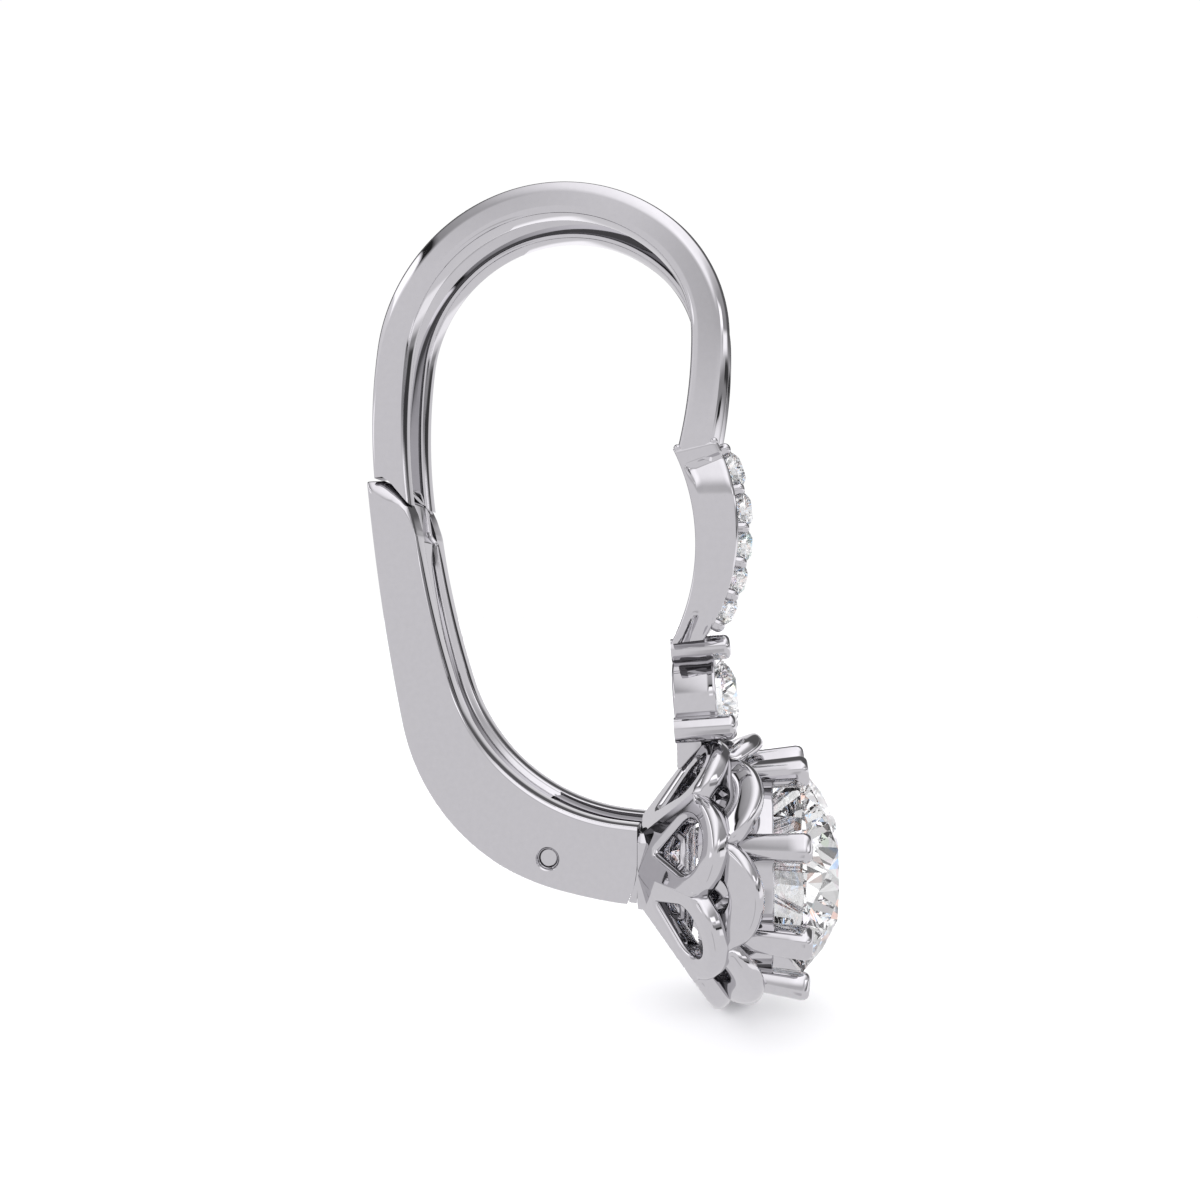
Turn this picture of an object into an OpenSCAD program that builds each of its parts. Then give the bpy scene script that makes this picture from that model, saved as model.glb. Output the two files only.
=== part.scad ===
// Drop hoop earring with a hinged back lever, seen with its flower head facing +X.
// The hoop lies in the XZ plane, +Y runs from the near side to the far side, +Z is up.
// The origin is the underside of the ear wire at its crown, where the wire hangs in the ear.
// One casting carries the wire, the stone bar, the small setting and the flower head.
// The lever swings about a pin in a tongue behind the flower, and its top end cradles the wire's foot.

/* [Ear wire] */
// Radial thickness of each rail of the wire
wire_t = 0.9; // [0.7:0.05:1.1]
// Depth of one rail along Y
rail_d = 0.65; // [0.5:0.05:0.8]
// Width over both rails, and of the lever and the bar
body_w = 2.4; // [2.1:0.1:3]

/* [Stone bar] */
// Thickness of the bar at its middle, from back to front
bar_t = 1.06; // [0.9:0.02:1.3]
// Half width of the bar's leaf at its top end
leaf_top_w = 0.77; // [0.6:0.01:1]
// Depth of the seats of the bar's stones
bar_seat_depth = 0.35; // [0.2:0.05:0.5]

/* [Small setting] */
// Radius of the small stone at its girdle
accent_r = 0.97; // [0.8:0.01:1.1]
// Tilt of the small setting, front end up, in degrees
accent_tilt = 5; // [0:1:8]
// Outer radius of the collet
collet_r = 1.05; // [0.95:0.01:1.15]
// Radius of one prong of the small setting
accent_prong_r = 0.32; // [0.25:0.01:0.36]

/* [Flower head] */
// Number of petals in each row, and of prongs
petals = 8; // [6:2:10]
// Slope of the back petals from the flower's axis, in degrees
back_slope = 52.5; // [45:0.5:60]
// Length of a back petal from the hub to its tip
back_len = 2.9; // [2.7:0.05:3.1]
// Slope of the front petals from the flower's axis, in degrees
front_slope = 32; // [28:1:38]
// Thickness of the back petals
back_t = 0.5; // [0.35:0.05:0.6]
// Thickness of the front petals
front_t = 0.42; // [0.3:0.02:0.5]
// Radius of one prong of the flower head
prong_r = 0.33; // [0.28:0.01:0.36]

/* [Centre stone] */
// Radius of the centre stone at its girdle
stone_r = 2.5; // [2.4:0.05:2.6]
// Crown angle in degrees
crown_angle = 34; // [30:1:38]
// Pavilion angle in degrees
pavilion_angle = 41; // [39:0.5:43]

/* [Lever] */
// Depth of the groove along the lever's inner edge
groove_t = 0.15; // [0.1:0.01:0.25]
// Width of the groove, between the lever's two rails
groove_w = 1.1; // [0.9:0.05:1.3]
// Clear gap between the lever and what it moves past
run_gap = 0.05; // [0.04:0.01:0.08]

/* [Hinge] */
// Radius of the hinge pin
pin_r = 0.26; // [0.2:0.01:0.3]
// Thickness of the tongue between the lever's cheeks
tongue_w = 1.1; // [0.8:0.05:1.3]

/* [Hidden] */
$fn = 96;
eps = 0.02;
arc_step = 5;      // degrees between the points of a curved edge
far = 20;          // longer than the earring, for cuts that run right through it
over = 0.5;        // how far other cuts stand out of the metal

// A route is a start point, a heading in degrees and rows of tangent arcs.
// Each row is [radius, sweep]: a positive radius turns left, a negative one turns right.
wire_start = [-4.52, -7.59];
wire_heading = 98.7;
wire_rows = [[-16, 15.6], [-4.27, 124.9], [-3.49, 47.6], [-12, 14.3]];

lever_outer_start = [-5.29, -6.68];
lever_outer_heading = -84.2;
lever_outer_rows = [[59, 6.2], [5.41, 65.5], [13.4, 16.1]];

lever_inner_start = [-3.93, -8.03];
lever_inner_heading = -81.1;
lever_inner_rows = [[25.2, 9.2], [5.05, 66], [13.9, 9.5]];

// Side view of the bar: the circles of its front and back faces
bar_front_at = [-0.46, -8.04];
bar_front_r = 4.8;
bar_back_at = [-2.05, -8.41];
bar_box = [[2.6, -12], [2, 7]];        // the bar's part of those circles: a corner, and the size

// Top line of the bar's cap, and how far the cap reaches below it
cap_line = [[2.6, -6.04], [4.2, -5.83]];
cap_h = 0.22;

// Top line of the lever, from the horn at its back down to its inner edge
seat_line = [[-5.29, -6.68], [-4.84, -6.63], [-4.62, -6.78], [-4.12, -7.36]];
foot_gap = 0.05;
foot_edge = [0.6, -1.2];               // from the low end of that line, down the wire's inner side
foot_depth = 2;                        // how much of the wire lies below that line

// Stones of the bar: [slope of the front face at the stone, stone diameter]
bar_stones = [[18.7, 1.0], [6.5, 0.94], [-4.2, 0.86], [-14.4, 0.82], [-24.3, 0.78]];
seat_share = 0.86;         // seat diameter against stone diameter

// The back strip of the bar, at full width, and the leaf in front of it
strip_t = 0.34;
leaf_r = 4.7;
leaf_crest = 12;           // angle of the shoulder's arc where it meets the leaf's straight side
leaf_shoulder_z = -7.2;
leaf_waist_z = -10.3;
leaf_foot = [0.8, -10.9];
bar_weld = 0.12;           // how far the bar's end sinks into the top prong of the small setting

// Small setting: the centre of its stone's girdle, and its prongs' angles and ring
accent_at = [3.93, -12.3];
accent_back = -1.22;
collet_front = -0.16;
collet_bore_r = 0.62;
collet_seat = [[-0.45, 0.62], [-0.2, 0.83]];     // inside of the collet, from its bore to the stone
collet_lip = -0.05;                    // where the seat reaches the stone's own radius
accent_clear = [1, 0.1];               // point of the cone that keeps the prongs off the crown
accent_prong_ring = 1.29;
accent_prong_angles = [90, -30, -150];
accent_prong_tip = 0.27;
accent_girdle = 0.06;
accent_crown_h = 0.44;
accent_table_r = 0.5;
accent_pavilion_h = 0.84;

neck_box = [[2.75, -14.45], [3.36, -13.05]];
neck_w = 1.2;

// Flower head: the height of its axis, the back of its hub and the hub's radius
flower_z = -16.6;
hub_back = 1.88;
hub_r = 1.18;
hub_front = 2.5;
back_lobe_r = 1.2;
back_root = [1.9, 1.2];
back_hole = [0.6, 1.83, 0.61];       // its point, the centre of its round end and that end's radius
front_tip = [4.85, 3.42];
front_len = 2.45;
front_lobe_r = 1.3;
front_hole = [1.1, 0.42];            // distance of its centre from the tip, and radius
petal_overlap = 0.06;

gallery = [[3.55, 2.12], [3.55, 2.5], [5.27, 2.5], [5.27, 1.98], [4.95, 2.12]];
prong_root = [4.0, 2.6];
prong_tip = [5.72, 2.8];

girdle_x = 5.8;
girdle_h = 0.12;
table_r = 1.3;
culet_r = 0.03;
stone_gap = 0.03;

pin_at = [-0.44, -16.33];
cheek_r = 2.27;
tongue_r = 1.28;
tongue_inset = 0.08;
pin_gap = 0.02;
foot_drop = 0.2;                       // how far below the pin the foot on the hub begins
pin_recess = 0.12;
rim_r = 0.36;

cheek_slot = tongue_w + 2 * run_gap;
bar_back_r = bar_front_at[0] + bar_front_r - bar_t - bar_back_at[0];
pitch = body_w - rail_d;
step = 360 / petals;

// Direction of a heading, and the point on the arc of a signed radius at that heading
function dir(h) = [cos(h), sin(h)];
function arc_centre(p, h, r) = p + r * [-sin(h), cos(h)];
function on_arc(c, r, h) = c + r * [sin(h), -cos(h)];
function turn(r, a) = r > 0 ? a : -a;

// Points of a route, with each row's arc divided evenly
function route(p, h, rows, i = 0) =
    i >= len(rows) ? [p] :
    let (r = rows[i][0], a = turn(r, rows[i][1]), c = arc_centre(p, h, r),
         n = max(2, ceil(abs(a) / arc_step)))
    concat([for (k = [0:n - 1]) on_arc(c, r, h + a * k / n)],
           route(on_arc(c, r, h + a), h + a, rows, i + 1));

// Rows of a route that runs beside another, shifted to its left by d
function beside(rows, d) = [for (row = rows) [row[0] - d, row[1]]];
function shifted(p, h, d) = p + d * [-sin(h), cos(h)];
function flipped(v) = [for (i = [len(v) - 1:-1:0]) v[i]];

// The lever's two long edges, each moved into the metal by d
function outer_edge(d) =
    route(shifted(lever_outer_start, lever_outer_heading, d), lever_outer_heading,
          beside(lever_outer_rows, d));
function inner_edge(d) =
    route(shifted(lever_inner_start, lever_inner_heading, -d), lever_inner_heading,
          beside(lever_inner_rows, -d));

// Stands a flat outline in the XZ plane, w thick along Y and centred on it
module plate(w) {
    rotate([90, 0, 0]) linear_extrude(height = w, center = true) children();
}

// A round bar along Y at a point of the XZ plane
module rod_y(at, r, w) {
    translate([at[0], 0, at[1]]) rotate([90, 0, 0]) cylinder(r = r, h = w, center = true);
}

// A round bar along X from x0 to x1, on the local X axis
module rod_x(x0, x1, r) {
    translate([x0, 0, 0]) rotate([0, 90, 0]) cylinder(r = r, h = x1 - x0);
}

// Turns an outline drawn as [distance along X, radius] about the X axis
module turned_x() {
    rotate([0, 90, 0]) rotate_extrude() rotate(90) mirror([0, 1]) children();
}

// Side view of one rail of the wire
module rail_side() {
    half = wire_t / 2;
    polygon(concat(
        route(shifted(wire_start, wire_heading, half), wire_heading, beside(wire_rows, half)),
        flipped(route(shifted(wire_start, wire_heading, -half), wire_heading,
                      beside(wire_rows, -half)))));
}

// What the lever's top takes away from the wire's foot
module below_seat() {
    low = seat_line[len(seat_line) - 1];
    polygon(concat([for (q = seat_line) q + [0, foot_gap]],
                   [low + foot_edge + [0, foot_gap], low - [0, foot_depth],
                    seat_line[0] - [over, foot_depth], seat_line[0] + [-over, foot_gap]]));
}

module ear_wire() {
    for (side = [-1, 1]) translate([0, side * pitch / 2, 0]) plate(rail_d) difference() {
        rail_side();
        below_seat();
    }
}

// Side view of the bar
module bar_side() {
    difference() {
        intersection() {
            translate(bar_front_at) circle(bar_front_r);
            translate(bar_box[0]) square(bar_box[1]);
        }
        translate(bar_back_at) circle(bar_back_r);
        above_cap(0);
    }
}

// Front view of the bar's leaf, as [y, z]
module leaf_view() {
    hw = body_w / 2;
    cy = hw - leaf_r * cos(leaf_crest);
    cz = leaf_shoulder_z - leaf_r * sin(leaf_crest);
    top = acos((leaf_top_w - cy) / leaf_r);
    right = [for (k = [0:6]) [cy, cz] + leaf_r * dir(leaf_crest + (top - leaf_crest) * k / 6)];
    polygon(concat(right, [for (q = flipped(right)) [-q[0], q[1]]],
                   [[-hw, leaf_waist_z], [-leaf_foot[0], leaf_foot[1]],
                    [leaf_foot[0], leaf_foot[1]], [hw, leaf_waist_z]]));
}

module bar_seats() {
    for (s = bar_stones) translate([bar_front_at[0], 0, bar_front_at[1]]) rotate([0, -s[0], 0])
        rod_x(bar_front_r - bar_seat_depth, bar_front_r + over, seat_share * s[1] / 2);
}

// Everything above a line h below the cap's top line
module above_cap(h) {
    polygon(concat([for (q = cap_line) q - [0, h]], [for (q = flipped(cap_line)) q + [0, far]]));
}

module stone_bar() {
    difference() {
        union() {
            plate(body_w) intersection() {
                bar_side();
                union() {
                    translate(bar_back_at) circle(bar_back_r + strip_t);
                    above_cap(cap_h);
                }
            }
            intersection() {
                plate(far) bar_side();
                rotate([90, 0, 90]) linear_extrude(height = far) leaf_view();
            }
        }
        in_accent_frame()
            translate([-far / 2, -far / 2, accent_prong_ring + accent_prong_r - far - bar_weld])
                cube(far);
        bar_seats();
    }
}

// Children are drawn with X along the small setting's axis, from its stone's girdle
module in_accent_frame() {
    translate([accent_at[0], 0, accent_at[1]]) rotate([0, -accent_tilt, 0]) children();
}

module small_setting() {
    in_accent_frame() difference() {
        union() {
            rod_x(accent_back, collet_front, collet_r);
            for (a = accent_prong_angles) rotate([90 - a, 0, 0]) translate([0, 0, accent_prong_ring]) {
                rod_x(accent_back, accent_prong_tip - accent_prong_r, accent_prong_r);
                translate([accent_prong_tip - accent_prong_r, 0, 0]) sphere(accent_prong_r);
            }
        }
        turned_x() polygon(concat(
            [[accent_back - over, 0], [accent_back - over, collet_bore_r]], collet_seat,
            [[collet_lip, accent_r + stone_gap], [accent_girdle, accent_r + stone_gap],
             accent_clear, [accent_clear[0], 0]]));
    }
}

module neck() {
    low = neck_box[0];
    high = neck_box[1];
    translate([low[0], -neck_w / 2, low[1]]) cube([high[0] - low[0], neck_w, high[1] - low[1]]);
}

// Places children, drawn for the top of the flower, at petal place k
module around_flower(k) {
    translate([0, 0, flower_z]) rotate([k * step, 0, 0]) children();
}

// A flat petal outline: a round lobe of radius r at the tip of len, on a wedge that meets
// its neighbours. root is the radius from the flower's axis at the petal's root.
module petal_outline(len, r, root, slope) {
    wide = tan(step / 2);
    at = len - r;
    translate([at, 0]) circle(r);
    polygon([[0, root * wide + petal_overlap], [at, (root + at * sin(slope)) * wide + petal_overlap],
             [at, -(root + at * sin(slope)) * wide - petal_overlap], [0, -root * wide - petal_overlap]]);
}

module back_petal() {
    r = back_hole[2];
    span = back_hole[1] - back_hole[0];
    lean = asin(r / span);
    translate([back_root[0], 0, back_root[1]]) rotate([0, -back_slope, 0])
        translate([0, 0, -back_t]) linear_extrude(height = back_t) difference() {
            petal_outline(back_len, back_lobe_r, back_root[1], back_slope);
            translate([back_hole[1], 0]) circle(r);
            polygon([[back_hole[0], 0], [back_hole[1] - r * sin(lean), r * cos(lean)],
                     [back_hole[1] - r * sin(lean), -r * cos(lean)]]);
        }
}

module front_petal() {
    root = front_tip - front_len * [cos(front_slope), sin(front_slope)];
    translate([root[0], 0, root[1]]) rotate([0, -front_slope, 0])
        translate([0, 0, -front_t]) linear_extrude(height = front_t) difference() {
            petal_outline(front_len, front_lobe_r, root[1], front_slope);
            translate([front_len - front_hole[0], 0]) circle(front_hole[1]);
        }
}

module head_prong() {
    lean = atan2(prong_tip[1] - prong_root[1], prong_tip[0] - prong_root[0]);
    long = norm(prong_tip - prong_root);
    translate([prong_root[0], 0, prong_root[1]]) rotate([0, -lean, 0]) {
        rod_x(0, long, prong_r);
        translate([long, 0, 0]) sphere(prong_r);
    }
}

// The centre stone's outline, as [distance along X, radius], grown by g
function stone_profile(g) =
    let (crown_h = (stone_r - table_r) * tan(crown_angle),
         pavilion_h = (stone_r - culet_r) * tan(pavilion_angle))
    [[girdle_x - pavilion_h - g, 0], [girdle_x - pavilion_h - g, culet_r + g], [girdle_x - g / 2, stone_r + g],
     [girdle_x + girdle_h + g / 2, stone_r + g], [girdle_x + girdle_h + crown_h + g, table_r + g],
     [girdle_x + girdle_h + crown_h + g, 0]];

module flower_head() {
    difference() {
        union() {
            for (k = [0:petals - 1]) {
                around_flower(k + 0.5) back_petal();
                around_flower(k) front_petal();
                around_flower(k + 0.5) head_prong();
            }
            translate([0, 0, flower_z]) {
                turned_x() polygon(gallery);
                rod_x(hub_back, hub_front, hub_r);
            }
        }
        translate([0, 0, flower_z]) turned_x() polygon(stone_profile(stone_gap));
    }
}

// The lever's side outline, with its edges moved into the metal by d_out and d_in
module lever_outline(d_out, d_in) {
    seat = [for (i = [len(seat_line) - 1:-1:1]) seat_line[i]];
    polygon(concat(outer_edge(d_out), flipped(inner_edge(d_in)), seat));
}

// Where the lever's cheeks may reach, so that they clear the hub as they turn
module cheek_reach() {
    translate([pin_at[0] - far, -far]) square(far);
    translate(pin_at) circle(cheek_r);
    translate(pin_at) square([hub_back - run_gap - pin_at[0], far]);
}

// The fixed side of the hinge: a foot on the hub and a tongue between the lever's cheeks
module hinge_block() {
    plate(body_w) intersection() {
        lever_outline(0, 0);
        difference() {
            translate([pin_at[0], -far]) square([hub_back + eps - pin_at[0], far + pin_at[1] - foot_drop]);
            translate(pin_at) circle(cheek_r + run_gap);
        }
    }
    plate(tongue_w) intersection() {
        lever_outline(tongue_inset, groove_t);
        union() {
            translate(pin_at) circle(tongue_r);
            translate([pin_at[0], -far]) square([hub_back + eps - pin_at[0], far]);
        }
    }
}

module front_frame() {
    color("gainsboro") difference() {
        union() {
            ear_wire();
            stone_bar();
            small_setting();
            neck();
            flower_head();
            hinge_block();
        }
        rod_y(pin_at, pin_r + pin_gap, far);
    }
}

module lever() {
    color("silver") difference() {
        plate(body_w) intersection() {
            lever_outline(0, 0);
            cheek_reach();
        }
        plate(groove_w) polygon(concat(inner_edge(-over), flipped(inner_edge(groove_t))));
        plate(cheek_slot) {
            translate(pin_at) circle(tongue_r + run_gap);
            translate([pin_at[0], -far]) square(far);
        }
        rod_y(pin_at, pin_r + pin_gap, far);
        for (side = [-1, 1])
            translate([0, side * body_w / 2, 0]) rod_y(pin_at, rim_r, 2 * pin_recess);
    }
}

module hinge_pin() {
    color("darkgray") rod_y(pin_at, pin_r, body_w - 2 * pin_recess);
}

module centre_stone() {
    color("aliceblue") translate([0, 0, flower_z]) turned_x() polygon(stone_profile(0));
}

module accent_stone() {
    color("aliceblue") in_accent_frame() turned_x()
        polygon([[-accent_pavilion_h, 0], [0, accent_r], [accent_girdle, accent_r],
                 [accent_girdle + accent_crown_h, accent_table_r], [accent_girdle + accent_crown_h, 0]]);
}

front_frame();
lever();
hinge_pin();
centre_stone();
accent_stone();
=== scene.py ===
"""Looks of a drop hoop earring with a hinged back lever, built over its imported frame.

Every shape is worked out in mm, in the frame's axes: X to the flower's front, Y to the far
side, Z up, with the origin under the ear wire's crown. A piece turns to metres when it is made.
"""

import functools
import math

import bmesh
import bpy
import numpy as np
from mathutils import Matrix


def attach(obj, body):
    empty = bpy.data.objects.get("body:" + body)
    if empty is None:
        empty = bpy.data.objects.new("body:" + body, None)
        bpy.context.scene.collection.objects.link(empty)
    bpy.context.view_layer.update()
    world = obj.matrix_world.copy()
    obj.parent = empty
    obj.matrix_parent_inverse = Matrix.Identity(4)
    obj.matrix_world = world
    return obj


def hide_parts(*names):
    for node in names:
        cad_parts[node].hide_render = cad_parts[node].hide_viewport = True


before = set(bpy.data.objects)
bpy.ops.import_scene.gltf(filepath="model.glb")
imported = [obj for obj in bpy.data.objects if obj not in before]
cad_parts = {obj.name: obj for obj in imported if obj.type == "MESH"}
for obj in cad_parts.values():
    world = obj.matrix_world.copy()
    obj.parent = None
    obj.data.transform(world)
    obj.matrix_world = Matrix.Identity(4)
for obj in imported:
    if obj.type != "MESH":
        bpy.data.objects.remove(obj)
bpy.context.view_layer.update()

bl_info = {
    "name": "Lever back flower earring",
    "version": (1, 0, 0),
    "blender": (4, 5, 0),
    "location": "3D View > Sidebar > Earring",
    "description": "Builds a white gold drop hoop earring with a flower head and its studio",
    "category": "Add Mesh",
}

MM = 0.001

# Side view of the ear wire and the lever: a start, a heading in degrees, then rows of tangent
# arcs as [radius, sweep]. A positive radius turns left and a negative one right.
WIRE = ((-4.52, -7.59), 98.7, ((-16, 15.6), (-4.27, 124.9), (-3.49, 47.6), (-12, 14.3)))
LEVER_OUTER = ((-5.29, -6.68), -84.2, ((59, 6.2), (5.41, 65.5), (13.4, 16.1)))
LEVER_INNER = ((-3.93, -8.03), -81.1, ((25.2, 9.2), (5.05, 66), (13.9, 9.5)))
# Half the width of the lever, the wire and the bar
BODY_HALF = 1.2

# The two rails of the ear wire, and the Y of one rail's middle
RAIL_WIDTH = 0.65
RAIL_MIDDLE = 0.875
# A rail's thickness at its foot, and what it gains by the crown and again by the bar
RAIL_FOOT_THICK = 0.86
RAIL_CROWN_GAIN = 0.035
RAIL_BAR_GAIN = 0.08
RAIL_INNER_EDGE = 0.13
RAIL_FOOT_EDGE = 0.07
RAIL_INTO_BAR = 0.16
RAIL_RINGS = 151
# Small beads of solder where the wire meets the bar
WIRE_JOINTS = ((2.84, 1.12, -6.02), (3.74, 1.12, -5.87), (2.86, 0.62, -6.02))
WIRE_JOINT_RADIUS = 0.1

# The lever's top: where its flat side ends, and the seat that the wire's foot rests on.
# Both run from the lever's inner edge to its horn.
SADDLE_EDGE = ((-3.918, -8.11), (-4.08, -7.77), (-4.27, -7.46), (-4.48, -7.29), (-4.73, -7.27),
               (-4.94, -7.21), (-5.16, -6.97), (-5.28, -6.78))
SEAT = ((-3.95, -7.97), (-4.12, -7.36), (-4.62, -6.78), (-4.84, -6.63), (-5.29, -6.68))
SEAT_GAP = 0.05

# The lever's groove: half its width at the seat and what it gains below, and its depth
GROOVE_HALF = (0.3, 0.25)
GROOVE_DEPTH = (0.01, 0.2)
# Where the groove runs out through the saddle: half its width, its depth and how far its
# floor has come up at the top
GROOVE_MOUTH = (0.546, 0.205, 0.17)

# The hinge, with the pin's bore as [distance from the middle, radius]
PIN_AT = (-0.44, -16.33)
PIN_BORE = ((0.5, 0.232), (1.08, 0.236), (1.13, 0.25), (1.17, 0.275), (1.4, 0.5))
PIN_HALF = 1.06
PIN_RADIUS = 0.222
PIN_EDGE = 0.03
HINGE_SLOT_HALF = 0.57
HINGE_SLOT_RADIUS = 1.3
# How far the slot runs on from the pin to the front, down and up
HINGE_SLOT_REACH = (4, 1.6, 1.9)
TONGUE_HALF = 0.55
TONGUE_RADIUS = 1.28
# How far the tongue stays inside the lines of the lever's outer and inner edges
TONGUE_SHY = (0.08, 0.21)
CHEEK_RADIUS = 2.27
CHEEK_END_X = 1.83
FOOT_END_X = 1.87

# Side view of the stone bar: the circles of its front and back faces, and the angles of both
# at the bar's top and foot
BAR_FRONT = ((-0.46, -8.04), 4.8)
BAR_BACK = ((-2.05, -8.41), 5.33)
BAR_ENDS = ((27.4, 26.4), (-35.1, -27.9))
# Thickness of the bar's full width back strip at its top and below
BAR_STRIP = (0.1, 0.2)
BAR_FRONT_EDGE = 0.09
BAR_BACK_EDGE = 0.05
BAR_CAP_EASE = 0.08
# The slopes between which the bar's leaf flares out to meet the cap, and the leaf's outline
BAR_FLARE = (21.4, 23.4)
LEAF_SHOULDER_Z = -7.2
LEAF_LEAN = (0.06, 0.13)
LEAF_WAIST_Z = -10.1
LEAF_WAIST_DROP = 0.3
LEAF_FOOT = (0.6, -10.9)
LEAF_LEDGE = 0.04
# Slope of the front face at each stone, and the stone's diameter
BAR_STONES = ((18.7, 1.0), (6.5, 0.94), (-4.2, 0.86), (-14.4, 0.82), (-24.3, 0.78))
# A stone's seat in the bar, as [distance from the face, share of the stone's diameter]
STONE_SEAT = ((-0.42, 0.2), (-0.02, 0.46), (0.3, 0.5))
BAR_GIRDLE_HEIGHT = 0.03
# The grains: the slopes at which they stand in pairs, how far each is from the middle, how far
# its dome starts below the stones' girdles, and where its root is
BEAD_SLOPES = (25.2, 12.6, 1.0, -9.4, -19.5, -29.4)
BEAD_OFF_MIDDLE = 0.3
BEAD_SINK = 0.08
BEAD_ROOT = -0.1

ACCENT_AT = (3.93, -12.3)
ACCENT_TILT = 5.0
ACCENT_RADIUS = 0.97
ACCENT_GIRDLE_HEIGHT = 0.05
ACCENT_PRONGS = (90, -30, -150)
ACCENT_PRONG_RING = 1.29
ACCENT_PRONG_SPAN = (-1.22, 0.3)
ACCENT_PRONG_RADIUS = 0.32
ACCENT_PRONG_EDGE = 0.16
# Profiles with a rounding at each corner: the collet and the gallery as [along the axis,
# radius, rounding], the neck in the side view as [X, Z, rounding]
COLLET = ((-1.22, 0.62, 0.04), (-0.5, 0.62, 0.04), (-0.2, 0.86, 0.04), (-0.13, 0.99, 0.03),
          (-0.13, 1.08, 0.03), (-0.2, 1.08, 0.06), (-0.32, 1.05, 0.2), (-1.22, 1.05, 0.07))
GALLERY = ((3.55, 2.12, 0.05), (4.85, 2.12, 0.2), (5.17, 1.98, 0.05), (5.17, 2.46, 0.06),
           (3.55, 2.46, 0.05))
NECK = ((2.76, -13.1, 0.1), (2.78, -14.2, 0.06), (3.4, -13.5, 0.06), (3.4, -13.1, 0.06))
NECK_HALF = 0.45

FLOWER_Z = -16.6
PETALS = 8
# Each row's petals: where one starts, as [X, distance from the flower's axis], its slopes at
# root and tip, its length, the radius of its round tip, its thickness, the radius of its
# hole's edge and the rise of its face
BACK_PETAL = ((1.85, 1.13), (51, 51), 3.1, 1.27, 0.5, 0.16, 0.0)
FRONT_PETAL = ((3.41, 2.53), (38, 26), 1.68, 1.3, 0.42, 0.09, 0.03)
FRONT_PETAL_EDGE = 0.2
# The share of a petal's length from which it bends, and how many rings go round its hole
PETAL_BEND_FROM = 0.21
PETAL_RAYS = 144
# A back petal's teardrop hole: its point, the middle and radius of its round end, and the
# middle that both outlines are drawn round. A front petal's is round.
TEAR_HOLE = (0.68, 1.96, 0.62)
TEAR_MIDDLE = 1.7
ROUND_HOLE = (0.5, 0.36)
# The hub behind the flower, as [X, half width], and the wire ring inside the head
HUB = ((1.84, 1.198), (1.843, 1.2), (1.95, 1.2), (2.5, 1.16))
HUB_HALF_HEIGHT = 0.95
HUB_CORNER = 0.2
HUB_EDGE = 0.05
INNER_RING = ((3.02, 1.72), 0.11)
# A head prong as [along it, width, rounding], the place of its zero, and its lean outwards
HEAD_PRONG = ((-0.35, 0.5, 0.22), (0.1, 0.56, 0.22), (0.7, 0.6, 0.2), (1.5, 0.64, 0.2),
              (1.86, 0.66, 0.2), (1.95, 0.62, 0.19), (2.01, 0.54, 0.17), (2.04, 0.42, 0.14),
              (2.05, 0.2, 0.07))
HEAD_PRONG_AT = (4.0, 2.6)
HEAD_PRONG_LEAN = math.degrees(math.atan2(0.2, 1.72))

STONE_RADIUS = 2.5
GIRDLE_X = 5.8
GIRDLE_HEIGHT = 0.12
# A brilliant's angles, and as shares of its radius those of its rings of corners and of the
# culet at whose depth its facets meet in a point
CROWN_ANGLE = 34
PAVILION_ANGLE = 41
TABLE_SHARE = 0.52
STAR_SHARE = 0.77
LOWER_SHARE = 0.24
CULET_SHARE = 0.02

# The photograph's camera, in mm in the frame's axes, and its field of view
CAMERA_AT = (4.674, -26.014, -10.178)
CAMERA_YAW = 8.65
CAMERA_LOOK_UP = 0.86
CAMERA_FOCAL_PX = 1000
IMAGE_WIDTH_PX = 1200
FLOOR_Z = -20.06
FLOOR_HALF = 3000

# The light in the metal. The ceiling's brightness goes by how far to the side it is over its
# height. A panel is [turns, lifts, softness of its edge, brightness], all but the last in
# degrees, from the photographer round to the earring's front and up from level.
WALL_LIGHT = 0.757
CEILING = ((-4.0, 0.8), (-2.2, 0.82), (-1.55, 0.9), (-1.48, 1.5), (-1.05, 1.5), (-1.0, 0.02),
           (-0.9, 0.02), (-0.86, 0.33), (-0.55, 0.5), (-0.15, 1.1), (0.3, 1.35), (0.75, 1.2),
           (1.05, 0.7), (1.5, 0.42), (2.6, 0.35), (4.0, 0.4))
CEILING_PEAK = 2.0
# Where the ceiling fades in: by how far back it is over its height, and by its height,
# each as [where it is nothing, where it is full], as all edges here are
CEILING_EDGES = ((-2.8, -1.65), (0.16, 0.3))
WALL_PANELS = (((2, 12), (-48, -12), 4.0, 0.55), ((-5, 36), (14, 27), 4.0, 0.56))
PANELS = (((38, 62), (17, 26), 2.0, 1.5), ((60, 122), (13, 17), 1.2, 1.3),
          ((38, 160), (4, 11), 2.0, 0.3), ((56, 80), (1.5, 5.5), 1.0, 0.02),
          ((86, 160), (8, 12), 1.0, 0.05), ((66, 166), (-9, 0.5), 2.0, 1.1),
          ((-60, -30), (8, 13), 1.2, 1.3), ((-200, -163), (-22, 2), 3.0, 1.25))
# The dark panel behind the earring: its light, where it fades in, and its lifts and softness
BEHIND_LIGHT = 0.12
BEHIND_EDGE = (0.1, 0.45)
BEHIND_LIFTS = (13, 56, 4)
# What is left of the light deep in metal that mirrors metal, and by how many mirrorings
DEEP_LIGHT = 0.1
DEEP_EDGE = (3.5, 1.5)
# The floor's light away from its low lamps and at them, and their lifts and softness
FLOOR_LIGHT = (0.35, 6.35)
FLOOR_LAMP_LIFTS = (3, 30, 3)
BACKDROP_LIGHT = 1.02
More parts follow.
